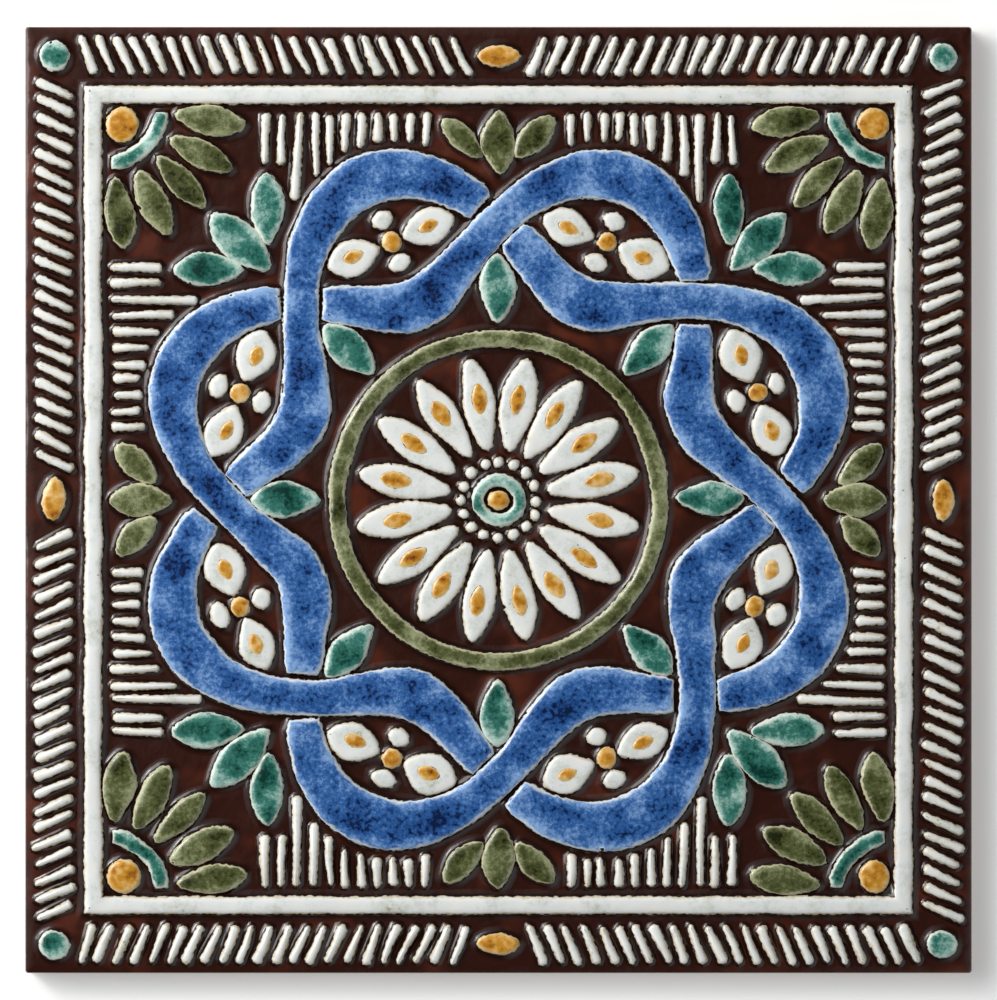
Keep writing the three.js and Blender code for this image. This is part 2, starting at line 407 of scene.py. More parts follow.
FINISHES = (
    UmberGlaze(),
    BareClay(),
    BrushedGlaze(
        Slot.COBALT,
        "cobalt_blue_brushed_glaze",
        tones=("#8bafdd", "#3564a3", "#163e79", "#0a1c42"),
        rim="#e6ebea",
        pool_mm=12.0,
        grain_mm=1.5,
        pooling=1.3,
        graining=1.2,
        speckling=0.9,
        fade_mm=4.5,
        fade=0.3,
        rim_mm=1.6,
    ),
    BrushedGlaze(
        Slot.WHITE,
        "milk_white_tin_glaze",
        tones=("#eeebe3", "#e6e9e6", "#d0d3c9", "#a9a593"),
        rim="#d0bd9c",
        graining=0.9,
        speckling=0.2,
        fade=0.15,
        rim_line=0.75,
    ),
    BrushedGlaze(
        Slot.SAGE,
        "sage_green_copper_glaze",
        tones=("#9ca17a", "#575d37", "#373c1a", "#1e230a"),
        rim="#cfcaa6",
        grain_mm=1.6,
        pooling=1.3,
        graining=1.1,
        fade_mm=2.6,
        fade=0.3,
    ),
    BrushedGlaze(
        Slot.TEAL,
        "teal_copper_glaze",
        tones=("#b9d8cd", "#3b7a6d", "#164f44", "#07332c"),
        rim="#e2e6d8",
        rim_mm=1.6,
        grain_mm=1.6,
        pooling=1.3,
        graining=0.9,
        fade_mm=3.0,
        fade=0.3,
    ),
    BrushedGlaze(
        Slot.OCHRE,
        "honey_ochre_iron_glaze",
        tones=("#ecca8e", "#cd9231", "#a5681d", "#703a0e"),
        rim="#ecd8a8",
        pool_mm=4.0,
        graining=0.8,
        speckling=0.5,
        fade_mm=1.8,
        fade=0.25,
        rim_line=0.6,
    ),
)


@dataclass(frozen=True)
class Layout:
    """The ornament's sizes in millimetres, the same as the solid's, worked out from its side.

    Attributes:
        side: the tile's side, from the frame.
        face: the height of the slab's face above the back.
    """

    side: float
    face: float = 9.4
    edge_margin: float = 2.6
    rope_length: float = 13.4
    rope_gap: float = 3.0
    frame_width: float = 5.4
    rope_slant: float = math.radians(24)
    rope_pitch: float = 5.5
    corner_knob: float = 4.6
    lozenge: Pair = (13.0, 3.4)
    strap_gap: float = 8.0
    strap_half_width: float = 5.6
    strap_swell: float = 2.6
    strap_swing: float = 21.0
    strap_waves: int = 4
    crossing_gap: float = 1.3
    boss: float = 8.4
    bead_gap: float = 1.9
    bead: float = 1.8
    beads: int = 16
    daisy_gap: float = 2.4
    daisy_petals: int = 16
    daisy_half_width: float = 5.2
    ring_gap: float = 3.2
    ring_width: float = 5.2
    ring_to_strap: float = 5.4
    motif_gap: float = 2.8
    eye_seed: float = 3.2
    eye_along: float = 6.2
    eye_across: float = 3.6
    drop_half_width: float = 5.6
    palmette_foot: float = 7.3
    palmette_spread: float = math.radians(45)
    wing_start: float = 7.5
    side_wing: Pair = (17.0, 4.2)
    side_petal_half_width: float = 5.2
    corner_wing: Pair = (22.5, 5.3)
    corner_petal: Pair = (25.0, 6.2)
    fan_knob: float = 5.2
    fan_gap: float = 2.4
    fan_arc_width: float = 4.8
    fan_petals: int = 5
    fan_petal: Pair = (22.0, 4.7)
    fan_spread: float = math.radians(72)
    bar_half_width: float = 1.45
    bar_pitch: float = 4.8
    bar_gap: float = 3.0
    shortest_bar: float = 5.0

    @property
    def half(self) -> float:
        """Half of the tile's side."""
        return self.side / 2

    @property
    def rope_middle(self) -> float:
        """Distance from the tile's middle to the rope border's middle line."""
        return self.half - self.edge_margin - self.rope_length / 2

    @property
    def frame_outer(self) -> float:
        """Half of the square band's outer side."""
        return self.half - self.edge_margin - self.rope_length - self.rope_gap

    @property
    def frame_inner(self) -> float:
        """Half of the square band's inner side."""
        return self.frame_outer - self.frame_width

    @property
    def strap_widest(self) -> float:
        """Half of the strap's width where it is widest."""
        return self.strap_half_width + self.strap_swell

    @property
    def strap_middle(self) -> float:
        """Radius that the straps swing to and fro about."""
        return self.frame_inner - self.strap_gap - self.strap_widest - self.strap_swing

    @property
    def ring_outer(self) -> float:
        """Outer radius of the plain ring."""
        return self.strap_middle - self.strap_swing - self.strap_widest - self.ring_to_strap

    @property
    def ring_inner(self) -> float:
        """Inner radius of the plain ring."""
        return self.ring_outer - self.ring_width

    @property
    def bead_circle(self) -> float:
        """Radius of the circle that the beads stand on."""
        return self.boss + self.bead_gap + self.bead

    @property
    def daisy(self) -> Pair:
        """Inner and outer radius of the daisy's petals."""
        return self.bead_circle + self.bead + self.daisy_gap, self.ring_inner - self.ring_gap

    @property
    def crossings(self) -> int:
        """How many times the two straps cross."""
        return 2 * self.strap_waves

    @property
    def crossing_turn(self) -> float:
        """Angle from one crossing to the next."""
        return 2 * math.pi / self.crossings

    @property
    def crossing_depth(self) -> float:
        """Distance from a crossing's middle to its edge, along a radius."""
        return self.strap_edge(0, self.strap_middle)

    @property
    def palmette_root(self) -> float:
        """Radius that the palmettes' leaves start from."""
        return self.strap_reach(0) + self.palmette_foot

    @property
    def fan_arc(self) -> Pair:
        """Inner and outer radius of the corner fan's arc."""
        inner = self.bar_gap * math.sqrt(2) + 2 * self.fan_knob + self.fan_gap
        return inner, inner + self.fan_arc_width

    def strap_radius(self, angle: float) -> float:
        """Radius of a strap's middle line at an angle."""
        return self.strap_middle + self.strap_swing * math.sin(self.strap_waves * angle)

    def strap_slope(self, angle: float) -> float:
        """Change of that radius with the angle."""
        return self.strap_swing * self.strap_waves * math.cos(self.strap_waves * angle)

    def strap_half(self, angle: float) -> float:
        """Half of a strap's width at an angle."""
        return self.strap_half_width + self.strap_swell * math.sin(self.strap_waves * angle) ** 2

    def strap_edge(self, angle: float, radius: float) -> float:
        """Distance from a strap's middle line to its edge, along a radius."""
        return self.strap_half(angle) * math.hypot(1, self.strap_slope(angle) / radius)

    def strap_reach(self, angle: float) -> float:
        """Radius of the plaited ring's outer edge at an angle."""
        swing = abs(math.sin(self.strap_waves * angle))
        radius = self.strap_middle + self.strap_swing * swing
        return radius + self.strap_edge(angle, radius)


@dataclass(frozen=True)
class Moulding:
    """The section that a motif rises by: a hollow curve up to the rim, then a round turn to the top.

    Attributes:
        stations: distances in from the rim where the section is measured, in millimetres, from the
            foot, which is negative, to the margin of the top.
        hollow: how far out the hollow curve of the sides reaches.
        turn: how far in the round turn goes.
        lip: the rim's height, as a share of the whole.
        crown: how much the top swells above its margin, in millimetres.
        crowning: how far in from the rim most of that swell takes.
        tops: the sizes of the last rings on the top, as shares of the one before.
        covered: how far out past the rim the coloured glaze reaches, in millimetres.
        spare: how much wider than the last station a motif has to be.
    """

    stations: tuple[float, ...]
    hollow: float
    turn: float
    lip: float = 0.6
    crown: float = 0.12
    crowning: float = 2.0
    tops: tuple[float, ...] = ()
    covered: float = 0.0
    spare: float = 0.15

    @property
    def flare(self) -> float:
        """How far the foot of the sides stands out from the rim."""
        return -self.stations[0]

    @property
    def margin(self) -> float:
        """How far in the last station is, with a little to spare."""
        return self.stations[-1] + self.spare

    @property
    def end_cell(self) -> float:
        """How long the faces at the ends of a strip are, so that the whole section fits in them."""
        return self.flare + self.margin + 2 * self.spare

    def share(self, distance: float) -> float:
        """Find the height at a distance in from the rim.

        Args:
            distance: in millimetres, negative on the sides.

        Returns:
            The height as a share of the whole.
        """
        if distance > 0:
            left = 1 - min(distance / self.turn, 1)
            return self.lip + (1 - self.lip) * math.sqrt(1 - left**2)
        foot = math.exp(-self.flare / self.hollow)
        return self.lip * (math.exp(distance / self.hollow) - foot) / (1 - foot)

    def swell(self, distance: np.ndarray) -> np.ndarray:
        """Give how much the top is crowned at distances in from the rim."""
        return self.crown * (1 - np.exp(-np.maximum(distance, 0) / self.crowning))


BAND_STATIONS = (-2.6, -1.9, -1.3, -0.85, -0.5, -0.22, 0.0, 0.12, 0.35, 0.7, 1.15, 1.7)
REED_STATIONS = (-1.3, -0.5, 0.0, 0.2, 0.6, 1.1)
SEED_STATIONS = (-0.5, -0.2, 0.0, 0.12, 0.4)
BAND = Moulding(BAND_STATIONS, hollow=0.9, turn=2.0)
LEAF = Moulding(BAND_STATIONS, hollow=0.9, turn=2.0, tops=(0.75, 0.6))
REED = Moulding(REED_STATIONS, hollow=0.45, turn=1.3, lip=0.5)
SEED = Moulding(SEED_STATIONS, hollow=0.25, turn=0.6, lip=0.5, tops=(0.6,), covered=0.45)


def polar(radius: float, angle: float, x: float = 0.0, y: float = 0.0) -> Pair:
    """Give x and y of the point that lies at a radius and angle from a point."""
    return x + radius * math.cos(angle), y + radius * math.sin(angle)


def spun(x: float, y: float, turn: float) -> Vector:
    """Turn a point about the tile's middle."""
    return Matrix.Rotation(turn, 2) @ Vector((x, y))


@dataclass(frozen=True)
class Place:
    """Where one copy of a motif lies, in millimetres and radians."""

    x: float = 0.0
    y: float = 0.0
    turn: float = 0.0

    def matrix(self, chance: random.Random, unsteady: float) -> Matrix:
        """Work out the copy's transform, with the small errors of a hand.

        Args:
            chance: the source of the errors.
            unsteady: how large they are, 1 being the usual.

        Returns:
            The transform, in metres.
        """
        slip = Vector((chance.gauss(0, 1), chance.gauss(0, 1), 0)) * 0.16 * unsteady * MM
        turn = self.turn + math.radians(chance.gauss(0, 0.9)) * unsteady
        long = 1 + chance.gauss(0, 0.012) * unsteady
        wide = 1 + chance.gauss(0, 0.05) * unsteady
        size = Matrix.Diagonal((long, wide, 1, 1))
        at = Vector((self.x, self.y, 0)) * MM + slip
        return Matrix.Translation(at) @ Matrix.Rotation(turn, 4, "Z") @ size


def rounds(count: int, radius: float = 0.0, first: float = 0.0) -> list[Place]:
    """Set places round a circle, each turned to face outward.

    Args:
        count: how many there are.
        radius: of the circle, in millimetres.
        first: where the first one is, in steps from the X axis.

    Returns:
        The places.
    """
    turns = [2 * math.pi * (i + first) / count for i in range(count)]
    return [Place(*polar(radius, turn), turn) for turn in turns]


def widened(outline: Sequence[Vector], by: float) -> list[Vector]:
    """Move each side of a closed outline out by the same distance.

    Args:
        outline: its corners, anticlockwise.
        by: the distance.

    Returns:
        The new corners.
    """
    wider = []
    count = len(outline)
    for i, corner in enumerate(outline):
        behind = (corner - outline[i - 1]).normalized()
        ahead = (outline[(i + 1) % count] - corner).normalized()
        out = Vector((behind.y + ahead.y, -behind.x - ahead.x))
        wider.append(corner + out * by / (1 + behind.dot(ahead)))
    return wider


def start(primitive: Callable, **settings: object) -> Thing:
    """Start an object from a primitive, with its transform applied.

    Args:
        primitive: the operator that adds it.
        settings: the operator's own.

    Returns:
        The new object.
    """
    bpy.ops.object.select_all(action="DESELECT")
    primitive(**settings)
    bpy.ops.object.transform_apply(location=True, rotation=True, scale=True)
    return bpy.context.object


def pick_out(*pieces: Thing) -> None:
    """Select these objects and no others, and make the first one active."""
    bpy.ops.object.select_all(action="DESELECT")
    for piece in pieces:
        piece.select_set(True)
    bpy.context.view_layer.objects.active = pieces[0]


@contextmanager
def editing(piece: Thing) -> Iterator[None]:
    """Hold a piece in edit mode for the length of a with block."""
    pick_out(piece)
    bpy.ops.object.mode_set(mode="EDIT")
    try:
        yield
    finally:
        bpy.ops.object.mode_set(mode="OBJECT")


def pick(piece: Thing, kind: Pick, test: Callable[[object], bool]) -> None:
    """Select the elements of a piece in edit mode that pass a test.

    Args:
        piece: the object in edit mode.
        kind: whether vertices or edges are tested.
        test: says whether an element is wanted.
    """
    bpy.ops.mesh.select_mode(type=kind.value)
    bpy.ops.mesh.select_all(action="DESELECT")
    mesh = bmesh.from_edit_mesh(piece.data)
    for element in getattr(mesh, kind.name.lower()):
        if test(element):
            element.select_set(True)
    mesh.select_flush_mode()
    bmesh.update_edit_mesh(piece.data)


def pick_open_edges() -> None:
    """Select the edges, in edit mode, where the piece is still open."""
    bpy.ops.mesh.select_mode(type="EDGE")
    bpy.ops.mesh.select_all(action="DESELECT")
    bpy.ops.mesh.select_non_manifold()


def face_outward() -> None:
    """Turn every face of the piece in edit mode outward."""
    bpy.ops.mesh.select_all(action="SELECT")
    bpy.ops.mesh.normals_make_consistent(inside=False)


@dataclass(frozen=True)
class Ripple:
    """Slow uneven waves that move the points of a piece.

    Attributes:
        name: of the texture that makes them.
        axis: the way that the points move.
        size: of the waves, in millimetres.
        strength: how far apart, in millimetres, the waves' tops and hollows are moved.
        detail: how many sizes of smaller waves lie on them.
        middle: the height in the waves, from 0 to 1, that isn't moved.
        basis: the kind of noise.
    """

    name: str
    axis: str
    size: float
    strength: float
    detail: int = 0
    middle: float = 0.5
    basis: str = "BLENDER_ORIGINAL"

    def apply(self, piece: Thing, group: str = "") -> None:
        """Move the points of a piece.

        Args:
            piece: the object to change.
            group: the vertex group that is moved, or all of it where this is empty.
        """
        waves = bpy.data.textures.new(self.name, "CLOUDS")
        waves.noise_basis = self.basis
        waves.noise_scale = self.size * MM
        waves.noise_depth = self.detail
        pick_out(piece)
        modifier = piece.modifiers.new(self.name, "DISPLACE")
        modifier.texture = waves
        modifier.direction = self.axis
        modifier.strength = self.strength * MM
        modifier.mid_level = self.middle
        modifier.texture_coords = "LOCAL"
        modifier.vertex_group = group
        bpy.ops.object.modifier_apply(modifier=modifier.name)


WAVERS = (
    Ripple("waver_X", "X", size=10, strength=1.3),
    Ripple("waver_Y", "Y", size=10, strength=0.7, basis="ORIGINAL_PERLIN"),
)
SWELL = Ripple("swell", "Z", size=22, strength=0.35, detail=1, middle=0.62)
GLAZE_RUN = Ripple("glaze_run", "Z", size=14, strength=3.2, detail=2)


def measure_rim(piece: Thing, moulding: Moulding, rim: Sequence[tuple[Vector, Vector]]) -> None:
    """Keep each point's distance in from the rim, and crown the top by it.

    The distance, in millimetres, is kept in the attribute "rim". It is negative on the sides.

    Args:
        piece: the raised motif.
        moulding: its section.
        rim: both ends of each of the rim's edges.
    """
    starts = np.array([a.xy for a, _ in rim])
    spans = np.array([b.xy for _, b in rim]) - starts
    points = np.array([v.co for v in piece.data.vertices])
    rays = points[:, None, :2] - starts[None]
    shares = np.clip((rays * spans).sum(2) / (spans**2).sum(1), 0, 1)
    gaps = np.linalg.norm(rays - shares[..., None] * spans, axis=2).min(1) / MM
    on_top = points[:, 2] > rim[0][0].z - 0.001 * MM
    distance = np.where(on_top, gaps, -gaps)
    points[:, 2] += moulding.swell(distance) * MM
    piece.data.vertices.foreach_set("co", points.ravel())
    layer = piece.data.attributes.new("rim", "FLOAT", "POINT")
    layer.data.foreach_set("value", (distance + moulding.covered).astype(np.float32))
    piece.data.update()


@dataclass
class Workbench:
    """What every motif is made with: sizes, finishes, tools and a steady source of chance.

    A motif is cut as a flat blank at the foot of its sides, and then raised. It is modelled at the
    tile's middle, along X where it is long. Its sizes are those of its rim, in millimetres, and its
    rise is the height of its margin above what it stands on.

    Attributes:
        layout: the ornament's sizes.
        materials: the finish of each slot.
        chance: a seeded source, so that each run gives the same tile.
        sunk: how far the foot of each motif goes under the ground glaze.
        root: how deep each motif goes on below its foot.
        bar_swell: how much half a bar's width gains at one end and loses at the other.
        belly: the power that puts a leaf's widest place past its middle.
        fullness: the power, below 1, that makes a leaf fuller than a sine.
        leaf_step: how much of a leaf's length and half width takes one face in each quarter.
        strip_end: how wide a strip is at its very ends, as a share of its width.
    """

    layout: Layout
    materials: dict[Slot, bpy.types.Material]
    chance: random.Random = field(default_factory=lambda: random.Random(27))
    sunk: float = 0.03
    root: float = 0.8
    bar_swell: float = 0.26
    belly: float = 1.15
    fullness: float = 0.82
    leaf_step: float = 3.6
    strip_end: float = 0.78

    def foot(self, stand: float = 0.0) -> float:
        """Height of a blank whose motif stands this high above the slab's face."""
        return self.layout.face + stand - self.sunk

    def disc(self, radius: float, sides: int, turned: float = 0.5) -> Thing:
        """Cut a round blank, turned by a part of a side from having a corner on the X axis."""
        return start(
            bpy.ops.mesh.primitive_circle_add,
            vertices=sides,
            radius=radius * MM,
            fill_type="NGON",
            location=(0, 0, self.foot() * MM),
            rotation=(0, 0, 2 * math.pi * turned / sides),
        )

    def bead(self, radius: float, rise: float, sides: int, moulding: Moulding = LEAF) -> Thing:
        """Model a round motif of this many sides."""
        return self.raise_up(self.disc(radius + moulding.flare, sides), moulding, rise)

    def bar(self, length: float, rise: float) -> Thing:
        """Model a bar with round ends, one narrower than the other, from a disc pulled apart.

        Args:
            length: end to end.
            rise: its height.

        Returns:
            The motif.
        """
        half_width = self.layout.bar_half_width + self.bar_swell + REED.flare
        taper = 1 - 2 * self.bar_swell / half_width
        pull = ((length + 2 * REED.flare) / 2 - half_width) * MM
        piece = self.disc(half_width, sides=8)
        with editing(piece):
            for side, share in ((-1, 1), (1, taper)):
                pick(piece, Pick.VERTS, lambda v, side=side: v.co.x * side > 0)
                bpy.ops.transform.translate(value=(side * pull, 0, 0))
                bpy.ops.transform.resize(value=(1, share, 1), center_override=(0, 0, 0))
            pick(piece, Pick.EDGES, lambda e: e.calc_length() > pull)
            bpy.ops.mesh.subdivide(number_cuts=1)
        return self.raise_up(piece, REED, rise)

    def leaf(
        self, size: Pair, rise: float, moulding: Moulding = LEAF, stand: float = 0.0
    ) -> Thing:
        """Model a leaf, or the small seed that lies on one, by pulling a disc into its outline.

        Args:
            size: length from tip to tip, and half width.
            rise: its height.
            moulding: its section.
            stand: how high it stands above the slab's face.

        Returns:
            The motif, widest a little past its middle.
        """
        length, half_width = size

        def outline(turn: float) -> Vector:
            """Find a point on the outline of the top, within the margin."""
            along = (1 + math.cos(turn)) / 2
            width = max(0.0, math.sin(math.pi * along**self.belly)) ** self.fullness
            width *= half_width - moulding.margin
            reach = (length - 2 * moulding.margin) * (along - 0.5)
            return Vector((reach, math.copysign(width, math.sin(turn))))

        sides = 4 * round((length + half_width) / self.leaf_step + 2)
        piece = self.disc(1.0, sides, turned=0)
        core = []
        for vertex in piece.data.vertices:
            turn = math.atan2(vertex.co.y, vertex.co.x)
            corner = outline(turn)
            # The tips end in a point that leans half as much as the sides next to it.
            if abs(math.sin(turn)) < 0.01:
                beside, beyond = (outline(turn + 2 * math.pi / sides * i) for i in (1, 2))
                lean = math.atan2(abs(beyond.x - beside.x), abs(beyond.y) - abs(beside.y))
                point = math.copysign(math.tan(lean / 2) * abs(beside.y), beside.x)
                corner = Vector((beside.x + point, 0))
            core.append(corner)
        wider = widened(core, moulding.margin + moulding.flare)
        for vertex, corner in zip(piece.data.vertices, wider):
            vertex.co = Vector((*corner, self.foot(stand))) * MM
        return self.raise_up(piece, moulding, rise, stand)

    def band(self, inner: float, outer: float, rise: float, sides: int, square: bool) -> Thing:
        """Model a closed band, from a round or a square blank with its middle cut out.

        Args:
            inner: radius, or half of the side, of the opening.
            outer: the same of the outside.
            rise: its height.
            sides: how many faces go round, or along each side of a square.
            square: whether it is square.

        Returns:
            The motif.
        """
        inner, outer = inner - BAND.flare, outer + BAND.flare
        if square:
            flat = {"size": 2 * outer * MM, "location": (0, 0, self.foot() * MM)}
            piece = start(bpy.ops.mesh.primitive_plane_add, **flat)
        else:
            piece = self.disc(outer, sides)
        with editing(piece):
            bpy.ops.mesh.select_all(action="SELECT")
            bpy.ops.mesh.inset(thickness=(outer - inner) * MM)
            bpy.ops.mesh.delete(type="FACE")
            if square:
                pick(piece, Pick.EDGES, lambda e: e.calc_length() > inner * MM)
                bpy.ops.mesh.subdivide(number_cuts=sides - 1)
        return self.raise_up(piece, BAND, rise, open_middle=True)

    def strip(
        self, cells: tuple[int, int], length: float, rise: float, path: Callable[[float, float], Pair]
    ) -> Thing:
        """Model a strip that runs along a path, with its two ends a little narrower.

        Args:
            cells: how many faces go along it and across it.
            length: of the path.
            rise: its height.
            path: gives x and y of the foot, from the share along, 0 to 1, and across, -1 to 1.

        Returns:
            The motif.
        """
        columns, rows = cells
        grid = {"x_subdivisions": columns, "y_subdivisions": rows, "size": 2}
        piece = start(bpy.ops.mesh.primitive_grid_add, **grid)
        end = BAND.end_cell / length
        for vertex in piece.data.vertices:
            column = round((vertex.co.x + 1) / 2 * columns)
            along = end + (1 - 2 * end) * (column - 1) / (columns - 2)
            across = vertex.co.y
            if column in (0, columns):
                along = column / columns
                across *= self.strip_end
            vertex.co = Vector((*path(along, across), self.foot())) * MM
        with editing(piece):
            face_outward()
        return self.raise_up(piece, BAND, rise)

    def raise_up(
        self,
        piece: Thing,
        moulding: Moulding,
        rise: float,
        stand: float = 0.0,
        open_middle: bool = False,
    ) -> Thing:
        """Raise a blank into a motif by a chain of insets, close its foot, and measure its rim.

        Args:
            piece: the blank.
            moulding: the section to raise it by.
            rise: the height of its margin.
            stand: how high it stands above the slab's face.
            open_middle: whether the blank is a band.

        Returns:
            The same piece.
        """
        height = (self.layout.face + stand + rise) * MM - piece.data.vertices[0].co.z
        rim: list[tuple[Vector, Vector]] = []
        with editing(piece):
            bpy.ops.mesh.select_mode(type="FACE")
            bpy.ops.mesh.select_all(action="SELECT")
            for outer, inner in zip(moulding.stations, moulding.stations[1:]):
                bpy.ops.mesh.inset(
                    thickness=(inner - outer) * MM,
                    depth=(moulding.share(inner) - moulding.share(outer)) * height,
                    use_even_offset=True,
                    use_boundary=True,
                )
                if inner == 0:
                    mesh = bmesh.from_edit_mesh(piece.data)
                    sides = [e for e in mesh.edges if sum(f.select for f in e.link_faces) == 1]
                    rim = [(e.verts[0].co.copy(), e.verts[1].co.copy()) for e in sides]
            for share in moulding.tops:
                bpy.ops.mesh.extrude_region_move()
                bpy.ops.transform.resize(value=(share, share, 1), center_override=(0, 0, 0))
            pick_open_edges()
            bpy.ops.mesh.extrude_edges_move()
            bpy.ops.transform.translate(value=(0, 0, -self.root * MM))
            close = bpy.ops.mesh.bridge_edge_loops if open_middle else bpy.ops.mesh.edge_face_add
            close()
            face_outward()
        measure_rim(piece, moulding, rim)
        return piece

    def either_way(self) -> float:
        """Give no turn or half a turn, by chance, so that bars taper both ways."""
        return self.chance.choice((0.0, math.pi))

    def set_out(
        self, name: str, slot: Slot, *motifs: tuple[Thing, Sequence[Place]], unsteady: float = 1.0
    ) -> Thing:
        """Copy motifs to their places, join the copies and finish them as one piece.

        Args:
            name: the piece's name.
            slot: its finish.
            motifs: each motif with the places of its copies.
            unsteady: how large the errors of the hand are.

        Returns:
            The finished piece.
        """
        copies = []
        for motif, places in motifs:
            for place in places:
                copy = motif.copy()
                copy.data = motif.data.copy()
                copy.data.transform(place.matrix(self.chance, unsteady))
                bpy.context.collection.objects.link(copy)
                copies.append(copy)
            bpy.data.objects.remove(motif)
        pick_out(*copies)
        if len(copies) > 1:
            bpy.ops.object.join()
        piece = bpy.context.object
        piece.name = piece.data.name = name
        for ripple in (*WAVERS, SWELL):
            ripple.apply(piece)
        piece.data.materials.clear()
        self.dress(piece, slot)
        return piece

    def dress(self, piece: Thing, *slots: Slot, sharp: float = 70.0) -> None:
        """Smooth a piece, give it its finishes and tie it to the frame.

        Args:
            piece: the modelled piece.
            slots: its finishes, the main one first.
            sharp: the angle in degrees from which an edge stays sharp.
        """
        pick_out(piece)
        bpy.ops.object.shade_smooth_by_angle(angle=math.radians(sharp))
        for slot in slots:
            piece.data.materials.append(self.materials[slot])
        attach(piece, "root")
        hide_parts(NODE)


@dataclass
class Part:
    """One sub-assembly of the tile.

    Attributes:
        bench: what it is made with.
    """

    bench: Workbench

    @property
    def layout(self) -> Layout:
        """The ornament's sizes."""
        return self.bench.layout


@dataclass
class Slab(Part):
    """The pressed clay slab, with the ground glaze on its face and sides.

    Attributes:
        arris: the eased edge, in millimetres.
        ease: how far the middle of the arris stays back from the edge.
        corner: how much the plan's corners are cut back by their rounding.
        glaze_line: how far up the sides the glaze stops.
        cell: the spacing of points on the face.
    """

    arris: float = 1.0
    ease: float = 0.3
    corner: float = 0.96
    glaze_line: float = 2.8
    cell: float = 2.4

    def build(self) -> Iterator[Thing]:
        """Model the slab from its face down, and dress it.

        Yields:
            The finished piece.
        """
        inner = self.layout.half - self.arris
        cells = round(2 * inner / self.cell)
        piece = start(
            bpy.ops.mesh.primitive_grid_add,
            x_subdivisions=cells,
            y_subdivisions=cells,
            size=2 * inner * MM,
            location=(0, 0, self.layout.face * MM),
        )
        piece.name = "clay_slab"
        near_corner = (inner - 0.1) * MM
        group = piece.vertex_groups.new(name="face")
        group.add([v.index for v in piece.data.vertices], 1.0, "REPLACE")
        with editing(piece):
            pick(piece, Pick.VERTS, lambda v: min(abs(v.co.x), abs(v.co.y)) > near_corner)
            bpy.ops.mesh.bevel(offset=self.corner * MM, segments=3, affect="VERTICES")
        SWELL.apply(piece, "face")
        with editing(piece):
            self._drop_sides(piece, inner)
        self._run_glaze(piece)
        self.bench.dress(piece, Slot.UMBER, Slot.CLAY, sharp=35.0)
        below = {v.index for v in piece.data.vertices if v.co.z < 1.01 * self.arris * MM}
        for face in piece.data.polygons:
            face.material_index = int(any(index in below for index in face.vertices))
        yield piece

    def _drop_sides(self, piece: Thing, inner: float) -> None:
        """Pull the slab's sides down from the edge of its face, and close its back.

        Args:
            piece: the slab's face, in edit mode.
            inner: half of its side, in millimetres.
        """
        half, face = self.layout.half, self.layout.face
        levels = (
            (half - self.ease, face - self.ease),
            (half, face - self.arris),
            (half, self.glaze_line),
            (half, self.arris),
            (half - self.ease, self.ease),
            (half - self.arris, 0.0),
        )
        pick_open_edges()
        reach = inner
        for out, level in levels:
            bpy.ops.mesh.extrude_edges_move()
            bpy.ops.transform.resize(value=(out / reach, out / reach, 1), center_override=(0, 0, 0))
            mesh = bmesh.from_edit_mesh(piece.data)
            for vertex in mesh.verts:
                if vertex.select:
                    vertex.co.z = level * MM
            bmesh.update_edit_mesh(piece.data)
            reach = out
        bpy.ops.mesh.edge_face_add()
        face_outward()

    def _run_glaze(self, piece: Thing) -> None:
        """Make the line where the glaze stops on the sides uneven."""
        group = piece.vertex_groups.new(name="line")
        line = self.glaze_line * MM
        on_line = [v.index for v in piece.data.vertices if abs(v.co.z - line) < 0.01 * MM]
        group.add(on_line, 1.0, "REPLACE")
        GLAZE_RUN.apply(piece, "line")


@dataclass
class Ornament(Part):
    """A kind of motif on the tile.

    Attributes:
        rise: height of its margin above the slab's face, in millimetres.
    """

    rise: float = 2.1


@dataclass
class PlaitedRing(Ornament):
    """Two cobalt straps that swing to and fro, over and under each other.

    Attributes:
        cells: how many faces go along and across one length of strap.
    """

    rise: float = 2.25
    cells: tuple[int, int] = (84, 4)

    def build(self) -> Iterator[Thing]:
        """Model one length of strap, from crossing to crossing, and lay them all.

        Yields:
            The finished piece.
        """
        layout = self.layout
        run = math.hypot(layout.strap_middle, layout.strap_slope(0))
        clear = (layout.strap_half_width + layout.crossing_gap - BAND.flare) / run
        span = 2 * layout.crossing_turn - 2 * clear

        def path(along: float, across: float) -> Pair:
            """Find a point on the strap."""
            angle = clear + span * along
            radius = layout.strap_radius(angle)
            x, y = polar(radius, angle)
            swing = polar(layout.strap_slope(angle), angle)
            ahead = Vector(polar(radius, angle + QUARTER, *swing)).normalized()
            reach = (layout.strap_half(angle) + BAND.flare) * across
            return x - ahead.y * reach, y + ahead.x * reach

        strap = self.bench.strip(self.cells, span * run, self.rise, path)
        places = rounds(layout.crossings)
        yield self.bench.set_out("plaited_ring", Slot.COBALT, (strap, places), unsteady=0.1)


